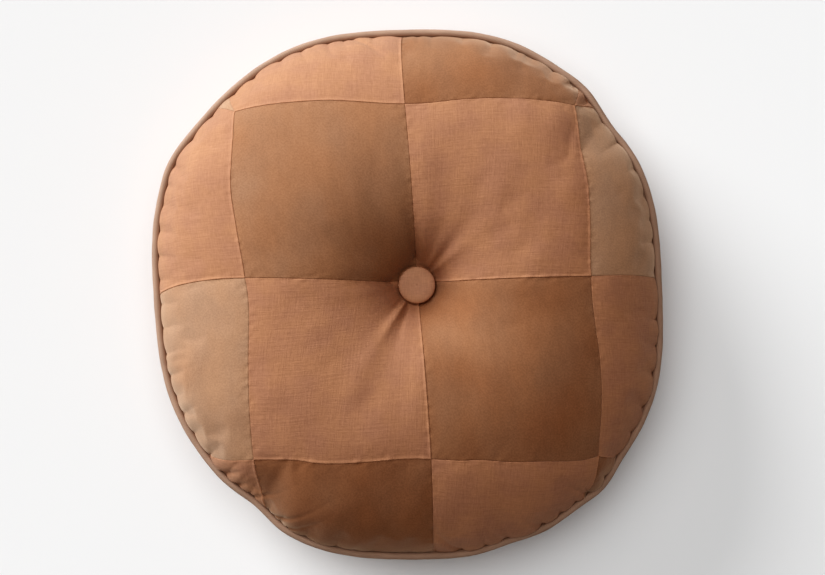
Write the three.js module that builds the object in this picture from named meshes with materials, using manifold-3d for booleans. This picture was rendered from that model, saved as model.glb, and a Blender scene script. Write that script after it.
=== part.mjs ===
// A round, knife-edge floor cushion: a patchwork top panel, a plain underside, a piped edge seam, a
// fibre-filled insert, and two covered buttons pulled together by a waxed twine.
// Millimetres, +Z up. The origin is on the floor, under the middle of the cushion's outline.
import * as THREE from "three";
import { mergeVertices } from "three/addons/utils/BufferGeometryUtils.js";
import Module from "manifold-3d";

const wasm = await Module();
wasm.setup();

// ---- Driving sizes ----
const EDGE_RADIUS = 276; // mean radius of the piping's centre line
const EDGE_HEIGHT = 74; // the piping's centre line above the floor
const DOME_HEIGHT = 174; // the top panel above the floor, if no button pulled it down
const DOME_FULLNESS = 2.5; // power of the dome's profile: higher is flatter on top, rounder at the edge
const TUFT_HEIGHT = 107; // the top panel above the floor where the top button sits
const TUFT_SPREAD = 42; // how far the button's pull is felt across the top
const TUFT_PLACE = { x: 9.8, y: 9.8 }; // the buttons' place
const FLOOR_RING_INNER = 82; // the underside lies flat on the floor between these two radii
const FLOOR_RING_OUTER = 176;
const BOTTOM_BUTTON_LIFT = 20; // the bottom button's face above the floor
const BELLY_FULLNESS = 2.2; // power of the underside's profile, from the floor ring to the edge

const FABRIC = 1.5; // thickness of the top and bottom cloths
const SEAM_ALLOWANCE = 12; // width of the flanges inside the edge seam
const SEAM_GAP = 0.3; // clearance between pieces that are sewn or pressed together

const PIPING_DIAMETER = 8; // over the piping's cover
const PIPING_CLOTH = 0.8; // thickness of the piping's cover

const CASE_CLOTH = 0.8; // thickness of the insert's case
const CASE_SLACK = 1.6; // from the inside of the cover to the case
const CASE_EDGE_GAP = 2.5; // from the end of the seam allowance to the case's own edge
const FILL_SLACK = 0.8; // from the inside of the case to the fill

const BUTTON_DIAMETER = 38.1; // over the button's cloth
const BUTTON_HEIGHT = 10; // from the button's back to its face
const BUTTON_SIDE = 4.5; // height of the button's rounded side
const BUTTON_LIP = 5; // how far the button's cloth turns in over its back
const BUTTON_CLOTH = 0.8;
const BUTTON_METAL = 0.8;
const BACK_PLATE = 1.2; // thickness of the plate that closes the button
const LOOP_WIRE = 1.6; // diameter of the button's wire loop
const LOOP_WIDTH = 8.4; // between the centres of the loop's two legs
const LOOP_DEPTH = 9; // from the button's back to the end of its loop
const LOOP_CLEARANCE = 1; // between the loop and the hole that it passes through

const TWINE_DIAMETER = 1.8;
const KNOT_TURNS = 3;
const KNOT_PITCH = 2.2; // between two turns of the knot
const KNOT_DROP = 6; // from the top loop's end to the knot's first turn

// The edge isn't a true circle. Each wave adds size * cos(lobes * (angle - at)) to its radius, and each
// dent adds a bump, or a hollow where its size is negative, that is about twice `spread` degrees wide.
const EDGE_WAVES = [
  { lobes: 2, size: 6.2, at: 103 },
  { lobes: 3, size: 1.5, at: 43 },
  { lobes: 4, size: 5.1, at: 49 },
  { lobes: 8, size: 2.1, at: 23.4 },
];
const EDGE_DENTS = [
  { size: -3, at: 39, spread: 5 },
  { size: 3, at: 50, spread: 5 },
  { size: 3, at: 151, spread: 6 },
  { size: -6, at: 234, spread: 6 },
  { size: -4, at: 292, spread: 6 },
  { size: 5, at: 315, spread: 5 },
];

// The patchwork: four rows and four columns of squares, sewn a little out of true.
const SEAM_CROSSING = { x: 10.3, y: 13.3 }; // where the two middle seams cross
const CORNER_MARGIN = 14.3; // from the outer corners of the four middle squares to the edge seam
const COLUMN_LEAN = -0.07; // sideways lean of the columns, per unit of height
const ROW_LEAN = 0.009; // rise of the rows, per unit of width
const SEAM_BOW = 5; // how far an outer seam bows out along each square
const ROWS = 4;
const COLUMNS = 4;

// ---- Facets ----
const SECTORS = 48; // round the cover and the piping
const INNER_SECTORS = SECTORS / 2; // round the insert
const TOP_RINGS = 9;
const PIPING_SIDES = 8;
const BUTTON_SEGMENTS = 16;
const SEAM_STEPS = 4; // along each square

// ---- Looks ----
const LOOKS = {
  linen: { color: 0xc08a68, roughness: 0.9 },
  velvet: { color: 0x9c6a48, roughness: 0.75 },
  piping: { color: 0xa9866a, roughness: 0.85 },
  calico: { color: 0xe6dcc8, roughness: 0.95 },
  fibre: { color: 0xf4f2ec, roughness: 1 },
  cord: { color: 0xece5d4, roughness: 0.95 },
  twine: { color: 0xd8c8a4, roughness: 0.7 },
  steel: { color: 0xb9bcc0, roughness: 0.35, metalness: 1 },
};

// ---- Sizes that follow ----
const HOLE_RADIUS = LOOP_WIDTH / 2 + LOOP_WIRE / 2 + LOOP_CLEARANCE;
const SEAT_RADIUS = BUTTON_DIAMETER / 2 + SEAM_GAP; // the cloth lies flat under the button
const SEAM_INSET = PIPING_DIAMETER / 2 + SEAM_GAP; // from the piping's centre line to the panels' folds
const SEAM_RISE = 1.5 * SEAM_GAP + PIPING_CLOTH; // from the piping's centre line to a panel's fold
const PANEL_RADIUS = EDGE_RADIUS - SEAM_INSET;
const SQUARE = (PANEL_RADIUS - CORNER_MARGIN) / Math.SQRT2; // a square's side, seen from above
const CASE_INSET = SEAM_INSET + SEAM_ALLOWANCE + CASE_EDGE_GAP;
const CASE_DEPTH = FABRIC + CASE_SLACK;
const FILL_DEPTH = CASE_DEPTH + CASE_CLOTH + FILL_SLACK;
const TOP_FOLD = EDGE_HEIGHT + SEAM_RISE;
const BOTTOM_FOLD = EDGE_HEIGHT - SEAM_RISE;
const TOP_BUTTON_BACK = TUFT_HEIGHT + SEAM_GAP;
const BOTTOM_BUTTON_BACK = BOTTOM_BUTTON_LIFT + BUTTON_HEIGHT;
const BOTTOM_TUFT_HEIGHT = BOTTOM_BUTTON_BACK + SEAM_GAP;

const cushion = new THREE.Group();

function addNode(name, geometry, look) {
  const mesh = new THREE.Mesh(geometry, new THREE.MeshStandardMaterial(LOOKS[look]));
  mesh.name = name;
  cushion.add(mesh);
  return mesh;
}

// ---- Solids from geometries, for cutting ----
function solidOf(geometry) {
  const bare = geometry.clone();
  bare.deleteAttribute("normal");
  bare.deleteAttribute("uv");
  const merged = mergeVertices(bare, 1e-4);
  const vertProperties = new Float32Array(merged.attributes.position.array);
  const triVerts = new Uint32Array(merged.index.array);
  return new wasm.Manifold(new wasm.Mesh({ numProp: 3, vertProperties, triVerts }));
}

function geometryOf(solid) {
  const mesh = solid.getMesh();
  const geometry = new THREE.BufferGeometry();
  geometry.setAttribute("position", new THREE.BufferAttribute(mesh.vertProperties, 3));
  geometry.setIndex(new THREE.BufferAttribute(mesh.triVerts, 1));
  return geometry;
}

// A ring: a closed section, whose points are functions of the angle, carried once round.
function ringGeometry(section, sectors) {
  const count = section.length;
  const angles = Array.from({ length: sectors }, (_, j) => (2 * Math.PI * j) / sectors);
  const points = angles.flatMap((angle) => section.map((point) => point(angle)));
  const index = [];
  for (let j = 0; j < sectors; j++) {
    const here = j * count;
    const next = ((j + 1) % sectors) * count;
    for (let i = 0; i < count; i++) {
      const k = (i + 1) % count;
      index.push(here + i, next + i, next + k, here + i, next + k, here + k);
    }
  }
  return new THREE.BufferGeometry().setFromPoints(points).setIndex(index);
}

// ---- The edge ----
const degrees = THREE.MathUtils.degToRad;

function turnBetween(a, b) {
  return THREE.MathUtils.euclideanModulo(a - b + Math.PI, 2 * Math.PI) - Math.PI;
}

function edgeRadius(angle) {
  const waves = EDGE_WAVES.map((w) => w.size * Math.cos(w.lobes * (angle - degrees(w.at))));
  const dents = EDGE_DENTS.map(
    (d) => d.size * Math.exp(-((turnBetween(angle, degrees(d.at)) / degrees(d.spread)) ** 2)),
  );
  return [...waves, ...dents].reduce((sum, value) => sum + value, EDGE_RADIUS);
}

function aroundEdge(angle, inset) {
  return new THREE.Vector2(Math.cos(angle), Math.sin(angle)).multiplyScalar(edgeRadius(angle) - inset);
}

const outline = Array.from({ length: SECTORS }, (_, j) => aroundEdge((2 * Math.PI * j) / SECTORS, 0));
const OUTLINE_CENTRE = new THREE.Box2().setFromPoints(outline).getCenter(new THREE.Vector2());

// A point `inset` inside the piping's centre line, at height z.
function edgePoint(angle, inset, z) {
  const { x, y } = aroundEdge(angle, inset).sub(OUTLINE_CENTRE);
  return new THREE.Vector3(x, y, z);
}

// ---- Panel surfaces: share 0 is the middle of the tuft, and share 1 is the edge seam ----
function pull(radius) {
  return Math.exp(-((Math.max(0, radius - SEAT_RADIUS) / TUFT_SPREAD) ** 1.3));
}

function topHeight(share) {
  const dome = (DOME_HEIGHT - TOP_FOLD) * Math.sqrt(1 - share ** DOME_FULLNESS);
  return TOP_FOLD + dome - (DOME_HEIGHT - TUFT_HEIGHT) * pull(share * PANEL_RADIUS);
}

function bottomHeight(share) {
  const radius = share * PANEL_RADIUS;
  const recess = 1 - THREE.MathUtils.smoothstep(radius, SEAT_RADIUS, FLOOR_RING_INNER);
  const out = Math.max(0, (radius - FLOOR_RING_OUTER) / (PANEL_RADIUS - FLOOR_RING_OUTER));
  return BOTTOM_TUFT_HEIGHT * recess + BOTTOM_FOLD * (1 - Math.sqrt(1 - out ** BELLY_FULLNESS));
}

function panelPoint(height, share, angle) {
  const edge = edgePoint(angle, SEAM_INSET, 0);
  const middle = 1 - share * share;
  const x = TUFT_PLACE.x * middle + edge.x * share;
  const y = TUFT_PLACE.y * middle + edge.y * share;
  return new THREE.Vector3(x, y, height(Math.min(share, 1)));
}

// The panel's point moved `depth` into the cushion, square to the panel.
function insidePoint(height, share, angle, depth) {
  const step = 1e-3;
  const near = Math.min(share, 1 - step);
  const outwards = panelPoint(height, near + step, angle).sub(panelPoint(height, near - step, angle));
  const sideways = panelPoint(height, near, angle + step).sub(panelPoint(height, near, angle - step));
  const normal = outwards.cross(sideways).normalize();
  const inwards = height === topHeight ? -depth : depth;
  return panelPoint(height, share, angle).addScaledVector(normal, inwards);
}

// ---- Stations: the shares at which a panel's surface is worked out ----
const HOLE_SHARE = HOLE_RADIUS / PANEL_RADIUS;
const SEAT_SHARE = SEAT_RADIUS / PANEL_RADIUS;

// Shares between two limits, closer together towards both of them.
function easedShares(from, to, count) {
  const steps = Array.from({ length: count + 1 }, (_, i) => (1 - Math.cos((Math.PI * i) / count)) / 2);
  return steps.map((step) => from + (to - from) * step);
}

// Shares from one limit to the edge seam, closer together towards the seam.
function edgewardShares(from, count) {
  const steps = Array.from({ length: count + 1 }, (_, i) => Math.sin((Math.PI / 2) * (i / count)));
  return steps.map((step) => from + (1 - from) * step);
}

const topStations = [HOLE_SHARE, ...easedShares(SEAT_SHARE, 1, TOP_RINGS)];
const bottomStations = [
  HOLE_SHARE,
  ...easedShares(SEAT_SHARE, FLOOR_RING_INNER / PANEL_RADIUS, 3),
  ...edgewardShares(FLOOR_RING_OUTER / PANEL_RADIUS, 5),
];

// ---- Layers: shells between two depths below a panel's surface ----
function surfaceLine(height, stations, depth) {
  const upToEdge = stations.slice(0, -1);
  return upToEdge.map((share) => (angle) => insidePoint(height, share, angle, depth(share)));
}

function edgeLine(corners) {
  return corners.map(([inset, z]) => (angle) => edgePoint(angle, inset, z));
}

function layerGeometry(height, stations, sectors, outerDepth, innerDepth, corners) {
  const outside = surfaceLine(height, stations, outerDepth);
  const inside = surfaceLine(height, stations, innerDepth);
  const section = [...outside, ...edgeLine(corners), ...inside.reverse()];
  return ringGeometry(height === topHeight ? section.reverse() : section, sectors);
}

// A cover panel ends in a fold at the edge seam and a flange that is turned inside.
function panelGeometry(height, stations, fold, upwards) {
  const flangeEnd = SEAM_INSET + SEAM_ALLOWANCE;
  const corners = [
    [SEAM_INSET, fold],
    [flangeEnd, fold],
    [flangeEnd, fold + upwards * FABRIC],
    [SEAM_INSET + FABRIC, fold + upwards * FABRIC],
  ];
  return layerGeometry(height, stations, SECTORS, () => 0, () => FABRIC, corners);
}

function caseDepth(share) {
  return CASE_DEPTH + (CASE_INSET - SEAM_INSET - CASE_DEPTH) * share ** 8;
}

// The insert's case is drawn in from the cover's edge seam, to clear the flanges inside it.
function caseGeometry(height, stations, upwards) {
  const seam = EDGE_HEIGHT + (upwards * SEAM_GAP) / 2;
  const corners = [
    [CASE_INSET, seam],
    [CASE_INSET + CASE_CLOTH, seam],
  ];
  const innerDepth = (share) => caseDepth(share) + CASE_CLOTH;
  return layerGeometry(height, stations, INNER_SECTORS, caseDepth, innerDepth, corners);
}

function fillGeometry() {
  const depth = (share) => caseDepth(share) + CASE_CLOTH + FILL_SLACK;
  const below = surfaceLine(bottomHeight, bottomStations, depth);
  const above = surfaceLine(topHeight, topStations, depth);
  const rim = edgeLine([[CASE_INSET + CASE_CLOTH + FILL_SLACK, EDGE_HEIGHT]]);
  return ringGeometry([...below, ...rim, ...above.reverse()], INNER_SECTORS);
}

// ---- Patchwork: columns are counted from the left, and rows from the far edge ----
// A place in the patchwork, in squares from the crossing of the two middle seams.
function patchworkPoint(across, up) {
  const bowAcross = SEAM_BOW * across * Math.sin(Math.PI * up) ** 2;
  const bowUp = SEAM_BOW * up * Math.sin(Math.PI * across) ** 2;
  const x = SQUARE * across + COLUMN_LEAN * SQUARE * up + bowAcross;
  const y = SQUARE * up + ROW_LEAN * SQUARE * across + bowUp;
  return new THREE.Vector2(SEAM_CROSSING.x + x, SEAM_CROSSING.y + y);
}

// One side of a patch's outline, as steps from one corner up to the next.
function patchSide(from, to) {
  const steps = Math.ceil(SEAM_STEPS * from.distanceTo(to));
  return Array.from({ length: steps }, (_, i) => {
    const at = from.clone().lerp(to, i / steps);
    return patchworkPoint(at.x, at.y);
  });
}

// An upright prism over one patch. Patches on the outside run on past the cushion's edge, and take in
// the flange below them. The four in the middle stop above it.
function patchPrism(row, column) {
  const beyond = (1.3 * EDGE_RADIUS) / SQUARE;
  const half = SEAM_GAP / 2 / SQUARE;
  const left = column === 0 ? -beyond : column - COLUMNS / 2 + half;
  const right = column === COLUMNS - 1 ? beyond : column + 1 - COLUMNS / 2 - half;
  const near = row === ROWS - 1 ? -beyond : ROWS / 2 - row - 1 + half;
  const far = row === 0 ? beyond : ROWS / 2 - row - half;
  const corners = [
    new THREE.Vector2(left, near),
    new THREE.Vector2(right, near),
    new THREE.Vector2(right, far),
    new THREE.Vector2(left, far),
  ];
  const outline = corners.flatMap((corner, i) => patchSide(corner, corners[(i + 1) % 4]));
  const reachesEdge = Math.min(left, near) === -beyond || Math.max(right, far) === beyond;
  const base = reachesEdge ? 0 : TOP_FOLD + FABRIC + SEAM_GAP;
  return new THREE.ExtrudeGeometry(new THREE.Shape(outline), { depth: DOME_HEIGHT, bevelEnabled: false })
    .translate(0, 0, base);
}

function addTopPatches() {
  const panel = solidOf(panelGeometry(topHeight, topStations, TOP_FOLD, 1));
  for (let row = 0; row < ROWS; row++) {
    for (let column = 0; column < COLUMNS; column++) {
      const cloth = (row + column) % 2 ? "linen" : "velvet";
      const patch = panel.intersect(solidOf(patchPrism(row, column)));
      addNode(`${cloth}_patch_row${row + 1}_column${column + 1}`, geometryOf(patch), cloth);
    }
  }
}

function addCover() {
  addTopPatches();
  addNode("bottom_panel", panelGeometry(bottomHeight, bottomStations, BOTTOM_FOLD, -1), "linen");
}

function addInsert() {
  addNode("insert_case_top", caseGeometry(topHeight, topStations, 1), "calico");
  addNode("insert_case_bottom", caseGeometry(bottomHeight, bottomStations, -1), "calico");
  addNode("fibre_fill", fillGeometry(), "fibre");
}

// ---- Piping ----
function arcLine(radius, from, to) {
  return Array.from({ length: PIPING_SIDES + 1 }, (_, i) => {
    const turn = from + ((to - from) * i) / PIPING_SIDES;
    return [-radius * Math.cos(turn), EDGE_HEIGHT + radius * Math.sin(turn)];
  });
}

// The cover is one strip wrapped round the cord, with its two edges held together as a flange.
function pipingCoverGeometry() {
  const outer = PIPING_DIAMETER / 2;
  const inner = outer - PIPING_CLOTH;
  const flangeEnd = SEAM_INSET + SEAM_ALLOWANCE;
  const slit = SEAM_GAP / 2;
  const back = Math.PI - Math.asin((slit + PIPING_CLOTH) / outer);
  const slitBack = Math.PI - Math.asin(slit / inner);
  const corners = [
    [flangeEnd, EDGE_HEIGHT - slit - PIPING_CLOTH],
    ...arcLine(outer, -back, back),
    [flangeEnd, EDGE_HEIGHT + slit + PIPING_CLOTH],
    [flangeEnd, EDGE_HEIGHT + slit],
    ...arcLine(inner, slitBack, -slitBack),
    [flangeEnd, EDGE_HEIGHT - slit],
  ];
  return ringGeometry(edgeLine(corners), SECTORS);
}

function pipingCordGeometry() {
  const radius = PIPING_DIAMETER / 2 - PIPING_CLOTH - SEAM_GAP;
  return ringGeometry(edgeLine(arcLine(radius, -Math.PI, Math.PI).slice(1)), SECTORS);
}

function addPiping() {
  addNode("piping_cover", pipingCoverGeometry(), "piping");
  addNode("piping_cord", pipingCordGeometry(), "cord");
}

// ---- Buttons: made back down at the origin, and then stood on the cover or turned under it ----
// Half a button's outline, from the middle of its face to its back.
function buttonLine(radius, face, back) {
  const side = Math.min(BUTTON_SIDE, face);
  const tuck = (BUTTON_LIP - BUTTON_CLOTH) / 2;
  const steps = [0, 1, 2, 3, 4, 5];
  const dome = steps.map((i) => {
    const turn = (Math.PI / 2) * (i / 5);
    return new THREE.Vector2(radius * Math.sin(turn), side + (face - side) * Math.cos(turn));
  });
  const under = [1, 2].map((i) => {
    const turn = (Math.PI / 2) * (i / 2);
    return new THREE.Vector2(radius - tuck * (1 - Math.cos(turn)), side - (side - back) * Math.sin(turn));
  });
  return [...dome, ...under];
}

// A bowl: a button's outline with a wall, turned in at its back to a round opening.
function bowlGeometry(radius, face, back, wall, opening) {
  const outside = buttonLine(radius, face, back);
  const inside = buttonLine(radius - wall, face - wall, back + wall);
  const lip = [new THREE.Vector2(opening, back), new THREE.Vector2(opening, back + wall)];
  return new THREE.LatheGeometry([...outside, ...lip, ...inside.reverse()].reverse(), BUTTON_SEGMENTS)
    .rotateX(Math.PI / 2);
}

function backPlateGeometry(radius) {
  const plate = new THREE.Shape().absarc(0, 0, radius, 0, 2 * Math.PI);
  const holeRadius = LOOP_WIRE / 2 + SEAM_GAP;
  plate.holes = [-1, 1].map((side) => {
    return new THREE.Path().absarc((side * LOOP_WIDTH) / 2, 0, holeRadius, 0, 2 * Math.PI, true);
  });
  return new THREE.ExtrudeGeometry(plate, { depth: BACK_PLATE, bevelEnabled: false, curveSegments: 8 });
}

function tubeGeometry(path, diameter, steps) {
  const section = new THREE.Shape(
    Array.from({ length: 6 }, (_, i) => {
      const turn = (Math.PI / 3) * i;
      return new THREE.Vector2(Math.cos(turn), Math.sin(turn)).multiplyScalar(diameter / 2);
    }),
  );
  return new THREE.ExtrudeGeometry(section, { extrudePath: path, steps, bevelEnabled: false });
}

// The wire loop: a foot on the plate, a leg through it, a half turn, and back.
class WireLoop extends THREE.Curve {
  getPoint(t) {
    const side = t < 0.5 ? -1 : 1;
    const bend = LOOP_WIRE;
    const halfWidth = LOOP_WIDTH / 2;
    const footHeight = BACK_PLATE + SEAM_GAP + LOOP_WIRE / 2;
    const legEnd = halfWidth + LOOP_WIRE / 2 - LOOP_DEPTH;
    const lengths = [bend, (Math.PI / 2) * bend, footHeight - bend - legEnd, (Math.PI / 2) * halfWidth];
    let along = (t < 0.5 ? t : 1 - t) * 2 * lengths.reduce((sum, length) => sum + length);
    const at = (out, up) => new THREE.Vector3(side * out, 0, up);
    if (along < lengths[0]) {
      return at(halfWidth + 2 * bend - along, footHeight);
    }
    along -= lengths[0];
    if (along < lengths[1]) {
      const turn = along / bend;
      return at(halfWidth + bend * (1 - Math.sin(turn)), footHeight - bend * (1 - Math.cos(turn)));
    }
    along -= lengths[1];
    if (along < lengths[2]) {
      return at(halfWidth, footHeight - bend - along);
    }
    const turn = (along - lengths[2]) / halfWidth;
    return at(halfWidth * Math.cos(turn), legEnd - halfWidth * Math.sin(turn));
  }
}

function addButton(name, back, facing) {
  const radius = BUTTON_DIAMETER / 2;
  const opening = radius - BUTTON_LIP;
  const step = BUTTON_CLOTH + SEAM_GAP;
  const cloth = bowlGeometry(radius, BUTTON_HEIGHT, 0, BUTTON_CLOTH, opening);
  const metal = bowlGeometry(radius - step, BUTTON_HEIGHT - step, step, BUTTON_METAL, opening);
  const pieces = [
    addNode(`${name}_cloth`, cloth, "linen"),
    addNode(`${name}_dome`, metal, "steel"),
    addNode(`${name}_back_plate`, backPlateGeometry(opening - SEAM_GAP), "steel"),
    addNode(`${name}_wire_loop`, tubeGeometry(new WireLoop(), LOOP_WIRE, 20), "steel"),
  ];
  for (const piece of pieces) {
    piece.position.set(TUFT_PLACE.x, TUFT_PLACE.y, back);
    piece.rotation.x = facing > 0 ? 0 : Math.PI;
  }
}

// ---- Twine ----
const TURN_RADIUS = (LOOP_WIRE + TWINE_DIAMETER) / 2 + SEAM_GAP;
const TOP_TURN = TOP_BUTTON_BACK - LOOP_DEPTH + LOOP_WIRE / 2;
const BOTTOM_TURN = BOTTOM_BUTTON_BACK + LOOP_DEPTH - LOOP_WIRE / 2;
const KNOT_TOP = TOP_TURN - KNOT_DROP;

// The twine goes down from the knot, through the bottom loop, up through the top one, and back.
class TwineRun extends THREE.Curve {
  getPoint(t) {
    const turn = Math.PI * TURN_RADIUS;
    const lengths = [KNOT_TOP - BOTTOM_TURN, turn, TOP_TURN - BOTTOM_TURN, turn, TOP_TURN - KNOT_TOP];
    let along = t * (lengths.reduce((sum, length) => sum + length) - SEAM_GAP);
    let stretch = 0;
    while (stretch < 4 && along > lengths[stretch]) {
      along -= lengths[stretch];
      stretch += 1;
    }
    const round = along / TURN_RADIUS;
    const across = TURN_RADIUS * Math.cos(round);
    const over = TURN_RADIUS * Math.sin(round);
    return [
      new THREE.Vector3(0, TURN_RADIUS, KNOT_TOP - along),
      new THREE.Vector3(0, across, BOTTOM_TURN - over),
      new THREE.Vector3(0, -TURN_RADIUS, BOTTOM_TURN + along),
      new THREE.Vector3(0, -across, TOP_TURN + over),
      new THREE.Vector3(0, TURN_RADIUS, TOP_TURN - along),
    ][stretch];
  }
}

// The knot is the twine's tail, whipped round its two strands.
class KnotTurns extends THREE.Curve {
  getPoint(t) {
    const radius = TURN_RADIUS + TWINE_DIAMETER + SEAM_GAP;
    const turn = 2 * Math.PI * KNOT_TURNS * t;
    const z = KNOT_TOP - KNOT_TURNS * KNOT_PITCH * t;
    return new THREE.Vector3(radius * Math.cos(turn), radius * Math.sin(turn), z);
  }
}

function addTwine() {
  const twine = addNode("tufting_twine", tubeGeometry(new TwineRun(), TWINE_DIAMETER, 60), "twine");
  const knot = addNode("twine_knot", tubeGeometry(new KnotTurns(), TWINE_DIAMETER, 10 * KNOT_TURNS), "twine");
  twine.position.set(TUFT_PLACE.x, TUFT_PLACE.y, 0);
  knot.position.set(TUFT_PLACE.x, TUFT_PLACE.y, 0);
}

addCover();
addPiping();
addInsert();
addButton("top_button", TOP_BUTTON_BACK, 1);
addButton("bottom_button", BOTTOM_BUTTON_BACK, -1);
addTwine();

export default cushion;
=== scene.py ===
"""The looks of a round patchwork floor cushion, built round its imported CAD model.

Everything is in metres, with the floor at z = 0 and the cushion's middle over the origin.
"""

import math

import bpy
import numpy as np
from mathutils.geometry import delaunay_2d_cdt
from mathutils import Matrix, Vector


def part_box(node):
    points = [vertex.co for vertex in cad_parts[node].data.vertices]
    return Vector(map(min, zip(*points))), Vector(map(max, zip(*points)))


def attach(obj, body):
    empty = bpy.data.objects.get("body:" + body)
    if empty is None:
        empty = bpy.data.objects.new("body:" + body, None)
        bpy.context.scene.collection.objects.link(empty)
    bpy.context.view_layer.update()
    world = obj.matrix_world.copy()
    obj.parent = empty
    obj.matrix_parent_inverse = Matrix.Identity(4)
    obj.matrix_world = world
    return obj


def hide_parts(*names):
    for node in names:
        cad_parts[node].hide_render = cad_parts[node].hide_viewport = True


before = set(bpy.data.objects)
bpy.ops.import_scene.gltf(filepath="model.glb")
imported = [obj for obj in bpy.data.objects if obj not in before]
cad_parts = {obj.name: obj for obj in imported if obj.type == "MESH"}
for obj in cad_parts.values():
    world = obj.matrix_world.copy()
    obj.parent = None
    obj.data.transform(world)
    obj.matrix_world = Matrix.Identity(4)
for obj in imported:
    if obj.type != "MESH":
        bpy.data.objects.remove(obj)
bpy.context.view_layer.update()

bl_info = {
    "name": "Patchwork floor cushion",
    "version": (1, 0, 0),
    "blender": (4, 5, 0),
    "location": "3D view > Sidebar > Cushion",
    "description": "Builds the cloth, piping, buttons and filling of a round patchwork floor cushion",
    "category": "Add Mesh",
}

MM = 0.001
BODY = "root"

# ---- Sizes from the CAD model ----
PIPING_LOW, PIPING_HIGH = (np.array(corner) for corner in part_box("piping_cover"))
PANEL_HIGH = np.array(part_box("bottom_panel")[1])
BUTTON_LOW, BUTTON_HIGH = (np.array(corner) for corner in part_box("top_button_cloth"))
LOWER_BUTTON_HIGH = np.array(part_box("bottom_button_cloth")[1])
EDGE_PATCH_LOW = np.array(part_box("linen_patch_row2_column1")[0])
MIDDLE_PATCH_HIGH = np.array(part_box("linen_patch_row2_column3")[1])

PIPE_RADIUS = (PIPING_HIGH[2] - PIPING_LOW[2]) / 2
EDGE_HEIGHT = (PIPING_HIGH[2] + PIPING_LOW[2]) / 2
TOP_FOLD = EDGE_PATCH_LOW[2]
BOTTOM_FOLD = PANEL_HIGH[2]
CROWN = MIDDLE_PATCH_HIGH[2]
BUTTON_PLACE = (BUTTON_LOW[:2] + BUTTON_HIGH[:2]) / 2
BUTTON_RADIUS = (BUTTON_HIGH[0] - BUTTON_LOW[0]) / 2
CLEARANCE = 0.3 * MM
SEAM_INSET = PIPE_RADIUS + CLEARANCE
SEAT_RADIUS = BUTTON_RADIUS + CLEARANCE
TOP_SEAT = BUTTON_LOW[2] - CLEARANCE
BOTTOM_SEAT = LOWER_BUTTON_HIGH[2] + CLEARANCE

# ---- Shape of the cushion ----
DOME_HEIGHT = CROWN + 14.4 * MM  # the top without the button's pull
DOME_FULLNESS = 2.2
TUFT_SPREAD = 38 * MM  # how far out the button's pull dies away
TUFT_SHARPNESS = 0.95
FLOOR_RING = (82 * MM, 176 * MM)  # the radii between which the underside lies on the floor
BELLY_FULLNESS = 2.2
LIKELY_RADIUS = 276 * MM  # where the fit of the edge's radius starts
PIPING_WALL = 0.8 * MM
CORD_GAP = 0.12 * MM
FLANGE = 12 * MM  # width of the seam allowances inside the edge
TWINE_HOLE = 6 * MM  # radius left open under the buttons, where the twine passes

# The edge isn't a true circle: waves of (lobes, millimetres, degrees) and dents of (millimetres, degrees,
# degrees wide) are added to its radius, and other waves lift it.
EDGE_WAVES = [(2, 6.2, 103), (3, 1.5, 43), (4, 5.1, 49), (8, 2.1, 23.4)]
LIFT_WAVES = [(2, 0.5, 40), (3, 0.6, 170), (5, 0.4, 80), (9, 0.3, 20), (14, 0.2, 130)]
EDGE_DENTS = [(-3, 39, 5), (3, 50, 5), (3, 151, 6), (-6, 234, 6), (-4, 292, 6), (5, 315, 5)]


def turn_between(a, b):
    """The signed turn from angle b to angle a, in radians."""
    return (a - b + np.pi) % (2 * np.pi) - np.pi


def edge_swing(angle):
    """What the waves and dents add to the edge's radius: a sum of cosines and of bell curves."""
    angle = np.asarray(angle, float)
    waves = [size * np.cos(lobes * (angle - math.radians(at))) for lobes, size, at in EDGE_WAVES]
    dents = [
        size * np.exp(-((turn_between(angle, math.radians(at)) / math.radians(spread)) ** 2))
        for size, at, spread in EDGE_DENTS
    ]
    return sum(waves + dents) * MM


def unit(angle):
    """The unit vector at an angle, as an array with two numbers last."""
    return np.stack([np.cos(angle), np.sin(angle)], -1)


def fit_edge():
    """The edge's mean radius and the middle of its outline, so that the piping is as wide as in CAD."""
    angle = np.linspace(0, 2 * np.pi, 1440)
    line = (LIKELY_RADIUS + edge_swing(angle))[:, None] * unit(angle)
    width = np.ptp(line[:, 0]) + 2 * PIPE_RADIUS
    radius = LIKELY_RADIUS + (PIPING_HIGH[0] - PIPING_LOW[0] - width) / 2
    return radius, (line.max(0) + line.min(0)) / 2


EDGE_RADIUS, EDGE_MIDDLE = fit_edge()
PANEL_RADIUS = EDGE_RADIUS - SEAM_INSET


def edge_point(angle, inset):
    """A point level with the piping: the edge's radius less inset, turned by angle about the middle."""
    return (EDGE_RADIUS + edge_swing(angle) - inset)[..., None] * unit(angle) - EDGE_MIDDLE


def edge_lift(angle):
    """How the edge seam wanders up and down: a sum of cosines, 2 mm at most."""
    return sum(size * np.cos(lobes * (angle - math.radians(at))) for lobes, size, at in LIFT_WAVES) * MM


def edge_band(angle, reach, level):
    """A panel's allowance inside the edge seam, at a reach in from the seam line."""
    plan = edge_point(angle, SEAM_INSET + reach)
    return np.concatenate([plan, (level + edge_lift(angle))[..., None]], -1)


def smoothstep(low, high, x):
    """0 below low, 1 above high, and 3t^2 - 2t^3 between them."""
    t = np.clip((x - low) / (high - low), 0, 1)
    return t * t * (3 - 2 * t)


def top_height(share):
    """A dome, the square root of 1 - share^fullness, less the button's pull, which dies away outwards."""
    dome = (DOME_HEIGHT - TOP_FOLD) * np.sqrt(np.clip(1 - share**DOME_FULLNESS, 0, 1))
    away = np.maximum(0, share * PANEL_RADIUS - SEAT_RADIUS) / TUFT_SPREAD
    return TOP_FOLD + dome - (DOME_HEIGHT - TOP_SEAT) * np.exp(-(away**TUFT_SHARPNESS))


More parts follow.
